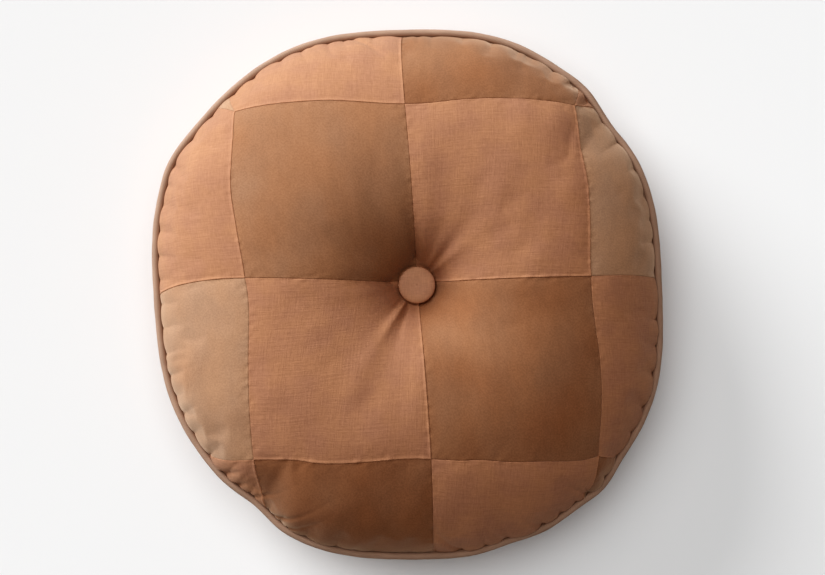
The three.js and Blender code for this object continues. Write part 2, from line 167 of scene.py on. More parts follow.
def bottom_height(share):
    """Flat on the floor in a ring, up to the lower button inside it, and up to the seam outside it."""
    radius = share * PANEL_RADIUS
    recess = 1 - smoothstep(SEAT_RADIUS, FLOOR_RING[0], radius)
    out = np.clip((radius - FLOOR_RING[1]) / (PANEL_RADIUS - FLOOR_RING[1]), 0, 1)
    return BOTTOM_SEAT * recess + BOTTOM_FOLD * (1 - np.sqrt(1 - out**BELLY_FULLNESS))


def panel_point(height, share, angle):
    """A panel's point. Its middle is over the button and its rim (share 1) is on the edge's outline."""
    share = np.asarray(share, float)
    plan = BUTTON_PLACE * (1 - share**2)[..., None] + edge_point(angle, SEAM_INSET) * share[..., None]
    level = height(share) + edge_lift(angle) * smoothstep(0.75, 1, share)
    return np.concatenate([plan, level[..., None]], -1)


class Cut:
    """A panel's cloth laid flat: its flat radius is the length of its profile from the middle."""

    def __init__(self, height):
        t = np.linspace(0, 1, 6001)
        self.height = height
        self.shares = 1 - (1 - t) ** 2
        steps = np.hypot(np.diff(self.shares * PANEL_RADIUS), np.diff(height(self.shares)))
        self.radii = np.concatenate([[0], np.cumsum(steps)])
        self.rim = self.radii[-1]

    def share(self, radius):
        return np.interp(radius, self.radii, self.shares)

    def point(self, flat):
        """The smooth panel's point for a place on the flat cloth."""
        radius = np.hypot(flat[..., 0], flat[..., 1])
        angle = np.arctan2(flat[..., 1], flat[..., 0])
        return panel_point(self.height, self.share(radius), angle)

    def normal(self, flat):
        """The panel's unit normal, upwards on the top, from differences along the flat cloth."""
        step = 0.5 * MM
        radius = np.hypot(flat[..., 0], flat[..., 1])
        flat = flat * (np.minimum(radius, self.rim - 2 * step) / np.maximum(radius, 1e-9))[..., None]
        along = self.point(flat + [step, 0]) - self.point(flat - [step, 0])
        across = self.point(flat + [0, step]) - self.point(flat - [0, step])
        normal = np.cross(along, across)
        return normal / np.linalg.norm(normal, axis=-1, keepdims=True)


TOP_CUT = Cut(top_height)
BOTTOM_CUT = Cut(bottom_height)

# ---- The patchwork, laid flat: millimetres from the button ----
ROWS = COLUMNS = 4
# Where the seams cross, from the left in each row, sewn a little out of true. The top row comes first.
CROSSINGS = [
    [(-202.5, 209.5), (-9.5, 214), (191, 216)],
    [(-201, 12.5), (0, 3), (214.5, 15.5)],
    [(-183, -196.5), (20, -196), (216.5, -187.5)],
]
# Where the rim's seam ends and corners are, in degrees about the middle.
RIM_TOP = [134.2, 132.4, 91.4, 50.4, 47.5]
RIM_BOTTOM = [228.2, 236.8, 275.4, 309.5, 317.0]
RIM_LEFT = [134.2, 136.0, 180.4, 218.8, 228.2]
RIM_RIGHT = [47.5, 44.7, 3.5, -37.8, -43.0]
# Velvet patches are cut with the pile running different ways: some are painted paler, a painted sheen
# where the pile catches the light, and some darker, a painted shade.
PATCH_SHEEN_AND_SHADE = {(0, 0): 0.7, (0, 2): -0.6, (1, 3): 1.0, (2, 0): 0.8, (2, 2): -0.5, (3, 1): -0.9, (3, 3): -0.6}
SHEEN_SHADE_WANDER = 0.2  # how much the painted sheen and shade change at random within a patch
# How far a seam bows between an outer crossing and the rim, in millimetres across it.
RIM_BOWS = {180.4: 5.0, 3.5: 2.0, 91.4: 1.5, 218.8: 1.0}


def patch_corner(row, column):
    """A corner of the patchwork on the flat cloth, in metres. Rows and columns of lines run 0 to 4."""
    if 0 < row < ROWS and 0 < column < COLUMNS:
        return np.array(CROSSINGS[row - 1][column - 1]) * MM
    degrees = (
        RIM_TOP[column] if row == 0
        else RIM_BOTTOM[column] if row == ROWS
        else RIM_LEFT[row] if column == 0
        else RIM_RIGHT[row]
    )
    return TOP_CUT.rim * unit(np.array(math.radians(degrees)))


def patch_side(start, end, on_rim):
    """A side of a patch as a function of t from 0 to 1: an arc of the rim, or a seam, straight or bowed.

    A bowed seam is the straight line and a parabola, 4t(1 - t) times the bow, across it.
    """

    def arc(t):
        first = np.arctan2(start[1], start[0])
        turn = turn_between(np.arctan2(end[1], end[0]), first)
        return TOP_CUT.rim * unit(first + turn * t)

    def seam(t):
        across = np.array([start[1] - end[1], end[0] - start[0]])
        across /= np.hypot(*across)
        bow = 0.0
        for degrees, size in RIM_BOWS.items():
            place = TOP_CUT.rim * unit(np.array(math.radians(degrees)))
            if min(np.hypot(*(place - start)), np.hypot(*(place - end))) < MM:
                upward = across[1] if abs(across[1]) > abs(across[0]) else -across[0]
                bow = size * MM * np.sign(upward)
        t = t[..., None]
        return start * (1 - t) + end * t + across * bow * 4 * t * (1 - t)

    return arc if on_rim else seam


# Steps across a patch: how far in from a seam, between those, and on into a seam or under the edge.
SEAM_STEPS = np.array([0, 0.35, 0.7, 1.1, 1.6, 2.2, 3.0, 4.0, 5.2, 6.6]) * MM
PATCH_STEP = 1.6 * MM
TURNED_IN = np.array([1.2, 3.0]) * MM
UNDER_EDGE = np.array([2 * MM, 6 * MM, FLANGE])


def patch_stations(length, sew_first, sew_last):
    """Places from 0 to 1 across a patch, closer together at its seams, and how far each lies past an end.

    A place past an end carries on down into the seam, so it keeps the end's place and has a positive reach.
    """
    near = SEAM_STEPS if length > 20 * MM else SEAM_STEPS[SEAM_STEPS < length / 3]
    count = max(2, int((length - 2 * near[-1]) / PATCH_STEP))
    middle = np.linspace(near[-1], length - near[-1], count + 1)[1:-1]
    places = np.concatenate([near, middle, (length - near)[::-1]]) / length
    first_reach = (TURNED_IN if sew_first else UNDER_EDGE)[::-1]
    last_reach = TURNED_IN if sew_last else UNDER_EDGE
    places = np.concatenate([0 * first_reach, places, 0 * last_reach + 1])
    reach = np.concatenate([first_reach, 0 * near, 0 * middle, 0 * near, last_reach])
    return places, reach


# Where the top panel is pinched as it is eased into the edge seam, in degrees.
TOP_PINCHES = [
    5, 12, 17, 22.3, 29, 36, 41.5, 47, 51.6, 57, 62.2, 65.6, 71.5, 78, 85, 91.5, 98, 104.5, 108, 114, 119,
    125.6, 131.2, 138, 144.6, 151.6, 155.8, 160.2, 166, 171.5, 177, 182.5, 188, 194, 199, 203.8, 208, 213,
    219, 224.6, 228.3, 231.4, 237, 240.6, 247, 254, 262, 270, 276, 281.7, 287, 292.1, 300.1, 304.7, 308.6,
    312, 317, 322, 328, 334, 341.7, 348, 354,
]
# How strongly it is gathered round the edge: degrees and share.
GATHER_STRENGTH = [
    (0, 0.9), (30, 1.0), (52, 1.1), (75, 0.5), (92, 0.8), (120, 1.1), (160, 0.9), (200, 0.9), (225, 1.3),
    (242, 1.1), (262, 0.4), (278, 1.0), (295, 1.7), (312, 1.7), (340, 1.5), (360, 0.9),
]


class Gathers:
    """The scallops where a panel is eased into the edge seam: round bulges between sharp pinches."""

    def __init__(self, seed, depth, pinches):
        random = np.random.default_rng(seed)
        edges = np.radians(pinches)
        self.edges = np.concatenate([edges, edges[:1] + 2 * np.pi])
        gaps = np.diff(self.edges)
        self.bulges = random.uniform(0.75, 1.15, len(gaps)) * depth * np.sqrt(gaps / gaps.mean())
        self.bulges *= np.interp(np.degrees(edges), *np.array(GATHER_STRENGTH).T)
        self.lengths = random.uniform(11, 30, len(gaps) + 1) * MM
        self.lengths[-1] = self.lengths[0]

    def height(self, angle, inland):
        """sin(pi t)^0.5 between two pinches, rising from the seam and dying away inland."""
        angle = (angle - self.edges[0]) % (2 * np.pi) + self.edges[0]
        k = np.clip(np.searchsorted(self.edges, angle, side="right") - 1, 0, len(self.bulges) - 1)
        t = np.clip((angle - self.edges[k]) / (self.edges[k + 1] - self.edges[k]), 0, 1)
        length = self.lengths[k] * (1 - t) + self.lengths[k + 1] * t
        scallop = np.sqrt(np.sin(np.pi * t)) * self.bulges[k] - 0.1 * self.bulges.mean()
        rise = 1 - np.exp(-((inland / (2.2 * MM)) ** 1.5))
        return scallop * rise * np.exp(-((inland / length) ** 1.3))


# Longer creases that run in from the rim: degrees, depth, width and length in millimetres, lean in degrees.
RIM_CREASES = [
    (103, 1.6, 4.0, 42, -6), (112, 1.0, 3.0, 24, -3), (126, 1.0, 3.0, 22, 2), (151, 1.2, 3.5, 26, 3),
    (196, 0.9, 4.0, 30, 0), (223.5, 1.8, 3.2, 30, 4), (227.5, 1.8, 3.0, 26, 4), (232, 2.2, 3.2, 34, 5),
    (238, 2.0, 3.2, 40, 7), (242, 1.6, 3.0, 34, 7), (258, 0.8, 3.5, 26, 2), (281.9, 1.8, 3.8, 46, -6),
    (291.6, 1.4, 3.4, 28, -4), (300.3, 1.6, 3.4, 26, -4), (305, 1.3, 3.0, 24, -3), (312, 2.4, 3.2, 36, -3),
    (334, 1.8, 3.0, 24, 2), (341.7, 1.6, 3.0, 20, 2), (22.6, 0.8, 3.2, 30, 0), (47.5, 2.2, 3.4, 22, 0),
    (52, 1.6, 3.2, 22, 2), (63.5, 1.0, 3.0, 18, 0), (72, 1.0, 3.0, 18, 0), (88, 1.2, 3.0, 20, 0),
    (12, 0.7, 3.4, 26, 0), (350, 0.8, 3.4, 26, 0), (165, 0.7, 3.6, 28, 0), (208, 0.8, 3.6, 26, 2),
]
# Folds that the button draws in: degrees, height in millimetres, width in degrees, reach in millimetres,
# and how far the fold swings round by its far end, in degrees.
TUFT_FOLDS = [
    (94, -3.8, 8, 85, 0), (172, -3.2, 8, 66, 4), (5, 1.8, 9, 90, 0), (234, 2.2, 5.0, 70, 3),
    (246, -1.9, 4.6, 62, 4), (224, -1.7, 6.0, 52, 3), (276, 1.2, 8, 70, 2), (60, 1.3, 6, 78, 0),
    (51, -0.6, 5, 60, 0), (42, 0.9, 6, 85, 0), (135, -0.6, 10, 50, 0), (318, 0.7, 9, 60, 0),
    (338, -0.7, 8, 56, 0), (205, 0.7, 8, 52, 0),
]


def rim_creases(angle, inland):
    """Narrow valleys, each a bell curve across and a falling curve along."""
    total = np.zeros_like(angle)
    for at, depth, width, length, lean in RIM_CREASES:
        centre = math.radians(at) + math.radians(lean) * inland / (50 * MM)
        across = turn_between(angle, centre) * PANEL_RADIUS / (width * MM)
        rise = 1 - np.exp(-inland / (1.5 * MM))
        total -= depth * MM * np.exp(-(across**2)) * rise * np.exp(-((inland / (length * MM)) ** 1.6))
    return total


def tuft_folds(angle, radius):
    """Radial ridges and valleys, strongest just outside the button."""
    total = np.zeros_like(angle)
    for at, height, width, reach, swing in TUFT_FOLDS:
        out = np.maximum(0, radius - SEAT_RADIUS) / (reach * MM)
        centre = math.radians(at) + math.radians(swing) * out
        across = turn_between(angle, centre) / math.radians(width)
        start = smoothstep(SEAT_RADIUS - 2 * MM, SEAT_RADIUS + 12 * MM, radius)
        total += height * MM * np.exp(-(across**2)) * start * np.exp(-(out**2))
    return total


def wander(flat, seed, size, waves=14):
    """A smooth random swell: a sum of plane waves of about one size, from -1 to 1 or so."""
    random = np.random.default_rng(seed)
    total = np.zeros(flat.shape[:-1])
    for _ in range(waves):
        way = unit(np.array(random.uniform(0, 2 * np.pi)))
        pace = 2 * np.pi / (size * random.uniform(0.7, 1.5))
        total += np.sin(flat @ way * pace + random.uniform(0, 2 * np.pi))
    return total / math.sqrt(waves / 2) / 1.6


TOP_GATHERS = Gathers(11, 3.3 * MM, TOP_PINCHES)
BOTTOM_GATHERS = Gathers(23, 2.8 * MM, [(360 - pinch) % 360 for pinch in reversed(TOP_PINCHES)])


# ---- Cloth simulation ----
SLACK_SHARE = 0.4  # share of the way from the panel's profile to its flat length
THREAD_SPACING = 4.5 * MM
SETTLING_FRAMES = 26
MOST_MOVED = 8 * MM


class Lattice:
    """Heights on a square lattice over the flat cloth. It starts at zero everywhere."""

    def __init__(self, rim, spacing):
        self.reach = int(rim / spacing) + 3
        self.spacing = spacing
        self.values = np.zeros((2 * self.reach + 1,) * 2)

    def height(self, flat):
        """A cubic B-spline through the lattice: its four weights both ways, summed."""
        place = flat / self.spacing + self.reach
        cell = np.clip(np.floor(place).astype(int), 1, 2 * self.reach - 2)
        t = place - cell
        weights = [(1 - t) ** 3, 3 * t**3 - 6 * t**2 + 4, -3 * t**3 + 3 * t**2 + 3 * t + 1, t**3]
        total = 0.0
        for i in range(4):
            for j in range(4):
                corner = self.values[cell[..., 0] + i - 1, cell[..., 1] + j - 1]
                total = total + weights[i][..., 0] * weights[j][..., 1] / 36 * corner
        return total


def flat_cloth(rim, seat, spacing):
    """A flat ring of cloth with its threads on a square lattice: points and triangles."""
    axis = np.arange(-int(rim / spacing), int(rim / spacing) + 1) * spacing
    threads = np.stack(np.meshgrid(axis, axis, indexing="ij"), -1).reshape(-1, 2)
    radius = np.hypot(*threads.T)
    threads = threads[(radius < rim - 0.55 * spacing) & (radius > seat + 0.55 * spacing)]
    outer = np.arange(int(2 * np.pi * rim / spacing))
    inner = np.arange(int(2 * np.pi * seat / spacing * 1.2))
    points = np.concatenate([
        rim * unit(outer * 2 * np.pi / len(outer)), seat * unit(inner * 2 * np.pi / len(inner)), threads
    ])
    loops = [(outer, 0), (inner, len(outer))]
    edges = [(int(i + first), int((i + 1) % len(loop) + first)) for loop, first in loops for i in loop]
    points, _, faces, *_ = delaunay_2d_cdt([tuple(p) for p in points], edges, [], 0, 1e-7)
    points, faces = np.array([tuple(p) for p in points]), np.array(faces)
    return points, faces[np.hypot(*points[faces].mean(1).T) > seat]


def unstretched(cut, flat, excess):
    """The cloth before it is sewn: the panel's profile, with its rings wider by a share of its slack."""
    plan = cut.shares * PANEL_RADIUS
    wide = plan + excess * (cut.radii - plan)
    fall = -np.sqrt(np.maximum(np.diff(cut.radii) ** 2 - np.diff(wide) ** 2, 0))
    level = np.concatenate([[0], np.cumsum(fall)])
    radius, angle = np.hypot(*flat.T), np.arctan2(flat[:, 1], flat[:, 0])
    out = np.interp(radius, cut.radii, wide)[:, None] * unit(angle)
    return np.concatenate([out, np.interp(radius, cut.radii, level)[:, None]], 1)


def settle_cloth(cut, surface, facing, held):
    """Blows a panel up from inside as cloth, with its seam and button held, until its slack settles.

    Returns how far the cloth moved along its normal, on a lattice, capped.
    """
    spacing = THREAD_SPACING
    found = Lattice(cut.rim, spacing)
    seat = SEAT_RADIUS - 0.5 * MM
    flat, faces = flat_cloth(cut.rim, seat, spacing)
    start, normal = surface(flat)
    mesh = bpy.data.meshes.new("settling cloth")
    mesh.from_pydata(start.tolist(), [], faces[:, ::facing].tolist())
    piece = bpy.data.objects.new("settling cloth", mesh)
    scene = bpy.context.scene
    scene.collection.objects.link(piece)
    piece.shape_key_add(name="sewn")
    cut_out = piece.shape_key_add(name="cut out")
    cut_out.data.foreach_set("co", unstretched(cut, flat, SLACK_SHARE).reshape(-1).astype(np.float32))
    held_points = np.nonzero(held(cut, flat, start))[0]
    piece.vertex_groups.new(name="held").add([int(i) for i in held_points], 1.0, "ADD")
    cloth = piece.modifiers.new("cloth", "CLOTH")
    cloth.point_cache.frame_start, cloth.point_cache.frame_end = 1, SETTLING_FRAMES
    cloth.collision_settings.use_collision = False
    settings = {
        "vertex_group_mass": "held", "rest_shape_key": cut_out, "quality": 6, "mass": 0.3,
        "tension_stiffness": 25, "compression_stiffness": 25, "shear_stiffness": 5,
        "bending_stiffness": 0.3, "use_pressure": True, "uniform_pressure_force": 5,
    }
    for key, value in settings.items():
        setattr(cloth.settings, key, value)
    cloth.settings.effector_weights.gravity = 0
    for number in range(1, SETTLING_FRAMES + 1):
        scene.frame_set(number)
    settled = piece.evaluated_get(bpy.context.evaluated_depsgraph_get()).data
    after = np.empty(len(flat) * 3, np.float32)
    settled.vertices.foreach_get("co", after)
    moved = ((after.reshape(-1, 3) - start) * normal).sum(1)
    threads = (np.hypot(*flat.T) < cut.rim - 0.5 * spacing) & (np.hypot(*flat.T) > seat + 0.5 * spacing)
    cell = np.round(flat[threads] / spacing).astype(int) + found.reach
    found.values[cell[:, 0], cell[:, 1]] = np.clip(moved[threads], -MOST_MOVED, MOST_MOVED)
    scene.frame_set(1)
    bpy.data.objects.remove(piece)
    bpy.data.meshes.remove(mesh)
    return found


def top_surface(flat):
    """The top panel's cloth as sewn, without its seams: the dome with its gathers, creases and folds."""
    radius = np.hypot(flat[..., 0], flat[..., 1])
    angle = np.arctan2(flat[..., 1], flat[..., 0])
    inland = np.maximum(0, TOP_CUT.rim - radius)
    height = TOP_GATHERS.height(angle, inland) + rim_creases(angle, inland)
    height += tuft_folds(angle, radius)
    edge_fade = smoothstep(0, 30 * MM, inland) * smoothstep(SEAT_RADIUS, 3 * SEAT_RADIUS, radius)
    height += (0.6 * wander(flat, 3, 90 * MM) + 0.2 * wander(flat, 4, 34 * MM)) * MM * edge_fade
    normal = TOP_CUT.normal(flat)
    return TOP_CUT.point(flat) + normal * height[..., None], normal


def bottom_surface(flat):
    """The underside's cloth as sewn: smooth, flat where it lies on the floor, gathered at the edge seam."""
    radius = np.hypot(flat[..., 0], flat[..., 1])
    angle = np.arctan2(flat[..., 1], flat[..., 0])
    inland = np.maximum(0, BOTTOM_CUT.rim - radius)
    normal = -BOTTOM_CUT.normal(flat)
    height = BOTTOM_GATHERS.height(angle, inland)
    return BOTTOM_CUT.point(flat) + normal * height[..., None], normal


def held_by_sewing(cut, flat, start):
    """Which points the edge seam and the button hold still."""
    radius = np.hypot(*flat.T)
    return (radius > cut.rim - 0.1 * MM) | (radius < SEAT_RADIUS)


def held_on_floor(cut, flat, start):
    """Which points of the underside are sewn, or lie on the floor."""
    return held_by_sewing(cut, flat, start) | (start[:, 2] < 0.3 * MM)


# ---- Meshes ----
def add_grid(name, points, flat, close_u=False, close_v=False, flip=False, seam=0.0, nap_sheen_and_shade=0.0):
    """A mesh of quads over a grid of points, with its place on the flat cloth as UV, in metres.

    seam is how near each point is to a seam, from 1 to 0, for the painted highlight and shade along the
    seams. nap is the velvet's painted sheen towards 1 and its painted shade towards -1, from 1 to -1.
    """
    rows, columns = points.shape[:2]
    index = np.arange(rows * columns).reshape(rows, columns)
    if close_u:
        index = np.concatenate([index, index[:, :1]], 1)
    if close_v:
        index = np.concatenate([index, index[:1]], 0)
    corners = [index[:-1, :-1], index[:-1, 1:], index[1:, 1:], index[1:, :-1]]
    quads = np.stack(corners[::-1] if flip else corners, -1).reshape(-1, 4)
    mesh = bpy.data.meshes.new(name)
    mesh.vertices.add(rows * columns)
    mesh.vertices.foreach_set("co", points.reshape(-1).astype(np.float32))
    mesh.loops.add(quads.size)
    mesh.loops.foreach_set("vertex_index", quads.reshape(-1).astype(np.int32))
    mesh.polygons.add(len(quads))
    mesh.polygons.foreach_set("loop_start", np.arange(0, quads.size, 4, dtype=np.int32))
    mesh.polygons.foreach_set("use_smooth", np.ones(len(quads), bool))
    mesh.update()
    layer = mesh.uv_layers.new(name="cloth")
    layer.data.foreach_set("uv", flat.reshape(-1, 2)[quads.reshape(-1)].reshape(-1).astype(np.float32))
    for key, values in (("seam", seam), ("nap_sheen_and_shade", nap_sheen_and_shade)):
        values = np.broadcast_to(values, (rows, columns)).reshape(-1).astype(np.float32)
        mesh.attributes.new(key, "FLOAT", "POINT").data.foreach_set("value", values)
    mesh.validate()
    piece = bpy.data.objects.new(name, mesh)
    bpy.context.scene.collection.objects.link(piece)
    return piece


def thicken(piece, thickness):
    """A Solidify modifier that puts the cloth's thickness inside the surface."""
    solid = piece.modifiers.new("cloth thickness", "SOLIDIFY")
    solid.thickness = thickness
    solid.offset = -1
    solid.use_even_offset = False
    return piece


def finish_piece(piece, material, slot, *nodes):
    """Gives a piece its material and its body, and hides the CAD nodes that it stands for. Its slot is not
    used.
    """
    piece.data.materials.clear()
    piece.data.materials.append(material)
    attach(piece, BODY)
    if nodes:
        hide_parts(*nodes)
    return piece


# ---- Patches ----
# How a cloth goes down into a seam, as a radius and a depth: linen turns more tightly than velvet.
SEAM_ROLL = {"linen": (0.8 * MM, 0.35 * MM), "velvet": (1.4 * MM, 0.4 * MM)}
DIP_WIDTH = 13 * MM
ALLOWANCE_RAMP = (0.8 * MM, 3.6 * MM)  # from a seam, the foot and the top of the ramp over its allowance
VALLEY_DEPTH = 4.5 * MM  # of the seams beside the button, from the puffed patches
VALLEY_PEAK = 12 * MM  # out from the button's seat, where the valleys are deepest
VALLEY_REACH = 48 * MM
VALLEY_WIDTH = 13 * MM
VALLEY_RIDGE = 0.35  # share of the depth that the patches rise by
SEAM_LIGHT_WIDTH = 1.3 * MM  # of the painted highlight, partly wear, on linen and of the painted shade on velvet, beside a seam


def seam_lift(distance, raised, cloth, sizes):
    """How far the cloth stands above the panel near its seams.

    A shallow dip along every seam, falling as exp(-x^1.4), and a quarter circle rolling down into it. Where
    an allowance is pressed under linen, a smooth step up over it: raised is the distance to those seams.
    """
    roll, depth = SEAM_ROLL[cloth]
    down = np.clip(1 - distance / roll, 0, 1)
    lift = -depth * (1 - np.sqrt(1 - down**2)) - sizes.seam_dip * np.exp(-((distance / DIP_WIDTH) ** 1.4))
    return lift + sizes.seam_rise * (1 - smoothstep(*ALLOWANCE_RAMP, raised))


def stitch_pucker(flat, distance):
    """The seam's small puckers: a swell of about 9 mm times exp(-x), dying away from the stitches."""
    return 0.22 * MM * wander(flat, 9, 9 * MM) * np.exp(-distance / (6 * MM))


def tuft_valley(flat, distance):
    """How far the puffed patches stand above the valleys that their seams lie in, near the button.

    The valleys begin at the button's seat, are deepest a little way out along the cloth, and die away from
    there as exp(-x). Across each one is the same falling curve, less the ridge's share.
    """
    away = np.maximum(0, np.hypot(flat[..., 0], flat[..., 1]) - SEAT_RADIUS)
    depth = VALLEY_DEPTH * smoothstep(0, VALLEY_PEAK, away) * np.exp(-away / VALLEY_REACH)
    return depth * (VALLEY_RIDGE - np.exp(-distance / VALLEY_WIDTH))


def patch_points(row, column, cloth, sizes, slack):
    """A patch as a grid: a Coons blend of its four sides on the flat cloth, carried onto the panel.

    Returns its points, their places on the flat cloth, and how near each is to a seam, from 1 to 0, which
    sets the painted highlight, partly wear, beside linen's raised edges and the painted shade beside
    velvet's seams.
    """
    corners = [
        patch_corner(row + 1, column), patch_corner(row + 1, column + 1),
        patch_corner(row, column + 1), patch_corner(row, column),
    ]
    rim_bottom, rim_top = row == ROWS - 1, row == 0
    rim_left, rim_right = column == 0, column == COLUMNS - 1
    bottom = patch_side(corners[0], corners[1], rim_bottom)
    top = patch_side(corners[3], corners[2], rim_top)
    left = patch_side(corners[0], corners[3], rim_left)
    right = patch_side(corners[1], corners[2], rim_right)
    half = np.array([0.5])
    width = float(np.hypot(*(right(half) - left(half))[0]))
    height = float(np.hypot(*(top(half) - bottom(half))[0]))
    a, reach_a = patch_stations(width, not rim_left, not rim_right)
    b, reach_b = patch_stations(height, not rim_bottom, not rim_top)
    A, B = np.meshgrid(a, b)
    u, v = A[..., None], B[..., None]
    flat = bottom(A) * (1 - v) + top(A) * v + left(B) * (1 - u) + right(B) * u
    flat -= corners[0] * (1 - u) * (1 - v) + corners[1] * u * (1 - v)
    flat -= corners[2] * u * v + corners[3] * (1 - u) * v
    across = np.hypot(*np.moveaxis(right(B) - left(B), -1, 0))
    along = np.hypot(*np.moveaxis(top(A) - bottom(A), -1, 0))
    far = 1.0
    gaps = [
        far if rim_left else A * across, far if rim_right else (1 - A) * across,
        far if rim_bottom else B * along, far if rim_top else (1 - B) * along,
    ]
    distance = np.minimum(np.minimum(gaps[0], gaps[1]), np.minimum(gaps[2], gaps[3]))
    point, normal = top_surface(flat)
    # The allowances are pressed under each linen patch's right and lower edges, which stand up over them.
    raised = np.minimum(gaps[1], gaps[2]) if cloth == "linen" else np.full_like(A, far)
    lift = seam_lift(distance, raised, cloth, sizes) + stitch_pucker(flat, distance)
    lift += tuft_valley(flat, distance)
    inland = np.maximum(0, TOP_CUT.rim - np.hypot(flat[..., 0], flat[..., 1]))
    lift = lift * smoothstep(0, 5 * MM, inland)
    seam_reach = np.zeros_like(A)
    rim_reach = np.zeros_like(A)
    for reach, place, rim_first, rim_last in (
        (reach_a[None, :] + 0 * A, A, rim_left, rim_right),
        (reach_b[:, None] + 0 * A, B, rim_bottom, rim_top),
    ):
        on_rim = np.where(place < 0.5, rim_first, rim_last)
        seam_reach = np.maximum(seam_reach, np.where(on_rim, 0, reach))
        rim_reach = np.maximum(rim_reach, np.where(on_rim, reach, 0))
    lift += slack.height(flat) - seam_reach * smoothstep(0, 4 * MM, inland)
    point = point + normal * lift[..., None]
    angle = np.arctan2(flat[..., 1], flat[..., 0])
    flange = edge_band(angle, rim_reach, TOP_FOLD)
    # Where the seam colour goes: a painted highlight, partly wear, beside linen's raised right and lower
    # edges, where light catches them, and painted shade beside every velvet seam.
    worn = raised if cloth == "linen" else distance
    seam_light_mask = np.exp(-((worn / SEAM_LIGHT_WIDTH) ** 2)) * smoothstep(0, 6 * MM, inland)
    return np.where((rim_reach > 0)[..., None], flange, point), flat, seam_light_mask


def patch_name(row, column):
    """The CAD node's name for a patch, and its cloth: velvet and linen take turns."""
    cloth = "linen" if (row + column) % 2 else "velvet"
    return f"{cloth}_patch_row{row + 1}_column{column + 1}", cloth


# ---- Materials ----
def linear(hex_colour):
    """An sRGB hex colour as linear red, green and blue."""
    values = [int(hex_colour[i : i + 2], 16) / 255 for i in (1, 3, 5)]
    return tuple(v / 12.92 if v <= 0.04045 else ((v + 0.055) / 1.055) ** 2.4 for v in values)


WHITE = linear("#ffffff")


def add_node(tree, kind, inputs, **settings):
    """Adds a node, with its settings, and with each input set to a value or linked to a socket."""
    node = tree.nodes.new(kind)
    for key, value in settings.items():
        setattr(node, key, value)
    for key, value in inputs.items():
        if isinstance(value, bpy.types.NodeSocket):
            tree.links.new(value, node.inputs[key])
        else:
            node.inputs[key].default_value = value
    return node


def start_material(name):
    """An empty material and its node tree."""
    material = bpy.data.materials.new(name)
    material.use_nodes = True
    material.node_tree.nodes.clear()
    return material, material.node_tree


def finish_material(tree, inputs):
    """Ends a material with its shader, whose inputs are set or linked, and the output."""
    shader = add_node(tree, "ShaderNodeBsdfPrincipled", inputs)
    add_node(tree, "ShaderNodeOutputMaterial", {"Surface": shader.outputs[0]})


def colour(rgb, by=1.0):
    """Red, green and blue as a node takes them, each multiplied by one number or by its own."""
    return (*(np.array(rgb) * by).tolist(), 1.0)


def random_patterns(tree, place, *patterns):
    """Random patterns of yarns, curls or scuffs, each (size in metres, stretch, detail, roughness).

    The noise reads the place divided by the size, so its grains are that wide, and longer along an axis
    whose stretch is below 1.
    """
    made = []
    for size, stretch, detail, roughness in patterns:
        scaled = add_node(
            tree, "ShaderNodeMapping", {"Vector": place, "Scale": tuple(s / size for s in stretch)}
        )
        grains = add_node(
            tree, "ShaderNodeTexNoise",
            {"Vector": scaled.outputs[0], "Scale": 1.0, "Detail": detail, "Roughness": roughness},
        )
        made.append(grains.outputs["Fac"])
    return made


def vary_dye(tree, dye, pattern, low, high, darkest, lightest):
    """Makes a dye uneven: times darkest where the pattern is low, times lightest where it is high.

    The pattern is turned to a share by a smooth step from low to high, which mixes the two multipliers.
    """
    share = add_node(
        tree, "ShaderNodeMapRange", {"Value": pattern, "From Min": low, "From Max": high},
        interpolation_type="SMOOTHSTEP",
    )
    ends = {6: colour(WHITE, darkest), 7: colour(WHITE, lightest)}
    by = add_node(tree, "ShaderNodeMix", {0: share.outputs[0], **ends}, data_type="RGBA")
    dyed = add_node(
        tree, "ShaderNodeMix", {0: 1.0, 6: dye, 7: by.outputs[2]}, data_type="RGBA", blend_type="MULTIPLY"
    )
    return dyed.outputs[2]


def paint_seam_light_and_wear(tree, dye, amount, worn):
    """Mixes an amount of another colour into a dye along the seams, where the seam attribute nears 1: a
    painted highlight, partly wear, on linen and a painted shade on velvet.
    """
    seam = add_node(tree, "ShaderNodeAttribute", {}, attribute_name="seam").outputs["Fac"]
    share = add_node(tree, "ShaderNodeMath", {0: seam, 1: amount}, operation="MULTIPLY").outputs[0]
    return add_node(tree, "ShaderNodeMix", {0: share, 6: dye, 7: worn}, data_type="RGBA").outputs[2]


